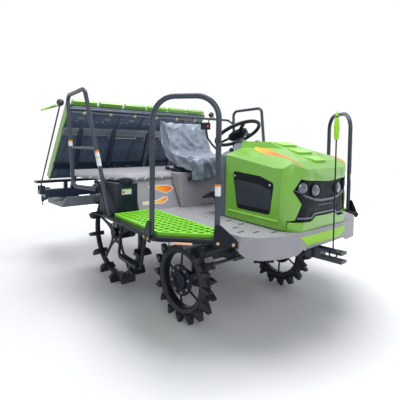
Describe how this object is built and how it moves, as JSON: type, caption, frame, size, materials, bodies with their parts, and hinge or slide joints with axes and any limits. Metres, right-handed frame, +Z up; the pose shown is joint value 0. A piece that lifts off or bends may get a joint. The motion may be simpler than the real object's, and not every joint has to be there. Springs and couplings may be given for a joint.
{
  "type": "riding rice transplanter",
  "caption": "Riding rice transplanter with lugged wheels, a hood over the engine, side steps with handrails and a planting section raised behind.",
  "frame": {"origin": "on the ground, at the middle of the machine's footprint", "axes": "+X forward, the way the machine drives, +Y to its left, +Z up"},
  "size_m": [3.175, 2.2428, 1.6898],
  "materials": {
    "frame_paint": "satin",
    "body_green": "gloss",
    "mat_green": "satin",
    "deck_grey": "satin",
    "mesh_black": "matte",
    "tyre_rubber": "matte",
    "wheel_paint": "satin",
    "case_metal": "satin",
    "engine_metal": "matte",
    "steel": "satin",
    "seat_vinyl": "satin",
    "dash_grey": "matte",
    "tank_black": "satin",
    "float_grey": "satin",
    "board_grey": "satin",
    "marker_green": "satin"
  },
  "bodies": {
    "chassis": {"main_frame": "frame_paint", "link_brackets": "frame_paint", "front_axle_case": "case_metal", "rear_axle_case": "case_metal", "engine_block": "engine_metal", "floor_deck": "deck_grey", "rear_deck": "deck_grey", "side_fairing": "deck_grey", "seat_base": "tank_black", "seat_cushion": "seat_vinyl", "seat_back": "seat_vinyl", "dashboard": "dash_grey", "front_mask": "mesh_black", "hood_base": "body_green", "control_lever": "tank_black", "brake_pedal": "tank_black", "step_mats": "mat_green", "step_frames": "frame_paint", "front_handrails": "frame_paint", "rear_handrails": "frame_paint", "rear_guard_bar": "frame_paint", "fuel_tank": "tank_black", "boarding_steps": "frame_paint", "tow_hitch": "frame_paint", "centre_marker": "tank_black"},
    "hood": {"hood": "body_green", "hood_grilles": "mesh_black"},
    "steering_wheel": {"steering_wheel": "tank_black"},
    "knuckle_right": {"knuckle_right": "case_metal"},
    "knuckle_left": {"knuckle_left": "case_metal"},
    "tie_rod": {"tie_rod": "frame_paint"},
    "front_wheel_right": {"front_tyre_right": "tyre_rubber", "front_rim_right": "wheel_paint"},
    "front_wheel_left": {"front_tyre_left": "tyre_rubber", "front_rim_left": "wheel_paint"},
    "rear_wheel_right": {"rear_tyre_right": "tyre_rubber", "rear_rim_right": "wheel_paint"},
    "rear_wheel_left": {"rear_tyre_left": "tyre_rubber", "rear_rim_left": "wheel_paint"},
    "lower_links": {"lower_links": "frame_paint"},
    "upper_link": {"upper_link": "frame_paint"},
    "lift_cylinder": {"lift_cylinder": "frame_paint"},
    "lift_rod": {"lift_rod": "steel"},
    "planting_section": {"planting_frame": "frame_paint", "planting_cases": "case_metal", "seedling_rail": "frame_paint", "platform_support": "frame_paint", "floats": "float_grey"},
    "planting_rotors": {"planting_rotors": "case_metal"},
    "platform": {"seedling_platform": "board_grey", "platform_fences": "body_green"},
    "marker_right": {"marker_right": "marker_green"},
    "marker_left": {"marker_left": "marker_green"}
  },
  "joints": [
    {"name": "hood_open", "type": "hinge", "parent": "chassis", "child": "hood", "pos_m": [0.8335, 0, 1.286], "axis": [0, -1, 0], "range_deg": [0, 45]},
    {"name": "steer_right", "type": "hinge", "parent": "chassis", "child": "knuckle_right", "pos_m": [0.7125, -0.43, 0.3], "axis": [0, 0, 1], "range_deg": [-40, 40]},
    {"name": "steer_left", "type": "hinge", "parent": "chassis", "child": "knuckle_left", "pos_m": [0.7125, 0.43, 0.3], "axis": [0, 0, 1], "range_deg": [-40, 40]},
    {"name": "steering_wheel_turn", "type": "hinge", "parent": "chassis", "child": "steering_wheel", "pos_m": [0.6975, 0, 1.35], "axis": [-0.5111, 0, 0.8595], "range_deg": [-480, 480]},
    {"name": "tie_rod_slide", "type": "slide", "parent": "chassis", "child": "tie_rod", "axis": [0, 1, 0], "range_m": [-0.081, 0.081]},
    {"name": "front_wheel_right_spin", "type": "hinge", "parent": "knuckle_right", "child": "front_wheel_right", "pos_m": [0.7125, -0.57, 0.3], "axis": [0, 1, 0], "continuous": true},
    {"name": "front_wheel_left_spin", "type": "hinge", "parent": "knuckle_left", "child": "front_wheel_left", "pos_m": [0.7125, 0.57, 0.3], "axis": [0, 1, 0], "continuous": true},
    {"name": "rear_wheel_right_spin", "type": "hinge", "parent": "chassis", "child": "rear_wheel_right", "pos_m": [-0.2225, -0.56, 0.455], "axis": [0, 1, 0], "continuous": true},
    {"name": "rear_wheel_left_spin", "type": "hinge", "parent": "chassis", "child": "rear_wheel_left", "pos_m": [-0.2225, 0.56, 0.455], "axis": [0, 1, 0], "continuous": true},
    {"name": "lift", "type": "hinge", "parent": "chassis", "child": "lower_links", "pos_m": [-0.4325, 0, 0.5], "axis": [0, 1, 0], "range_deg": [-58, 2]},
    {"name": "upper_link_swing", "type": "hinge", "parent": "chassis", "child": "upper_link", "pos_m": [-0.4325, 0, 0.7], "axis": [0, 1, 0], "range_deg": [-58, 2]},
    {"name": "planting_level", "type": "hinge", "parent": "lower_links", "child": "planting_section", "pos_m": [-0.96227, 0, 0.78168], "axis": [0, 1, 0], "range_deg": [-2, 58]},
    {"name": "lift_cylinder_swing", "type": "hinge", "parent": "chassis", "child": "lift_cylinder", "pos_m": [0.1575, 0, 0.715], "axis": [0, 1, 0], "range_deg": [-1.75, 0.1]},
    {"name": "lift_rod_slide", "type": "slide", "parent": "lift_cylinder", "child": "lift_rod", "axis": [-0.9923, 0, -0.1238], "range_m": [-0.069, 0.0026]},
    {"name": "planting_rotor_spin", "type": "hinge", "parent": "planting_section", "child": "planting_rotors", "pos_m": [-1.4725, 0, 0.68], "axis": [0, 1, 0], "continuous": true},
    {"name": "platform_slide", "type": "slide", "parent": "planting_section", "child": "platform", "axis": [0, 1, 0], "range_m": [-0.27, 0.01]},
    {"name": "marker_right_fold", "type": "hinge", "parent": "planting_section", "child": "marker_right", "pos_m": [-1.0625, -0.955, 0.8], "axis": [1, 0, 0], "range_deg": [0, 90]},
    {"name": "marker_left_fold", "type": "hinge", "parent": "planting_section", "child": "marker_left", "pos_m": [-1.0625, 0.955, 0.8], "axis": [-1, 0, 0], "range_deg": [0, 90]}
  ],
  "couplings": [
    {"joint": "steer_left", "follows": "steer_right", "ratio": 1},
    {"joint": "steering_wheel_turn", "follows": "steer_right", "ratio": 12},
    {"joint": "tie_rod_slide", "follows": "steer_right", "m_per_rad": 0.115},
    {"joint": "upper_link_swing", "follows": "lift", "ratio": 1},
    {"joint": "planting_level", "follows": "lift", "ratio": -1},
    {"joint": "lift_cylinder_swing", "follows": "lift", "ratio": 0.029438},
    {"joint": "lift_rod_slide", "follows": "lift", "m_per_rad": 0.067476}
  ]
}
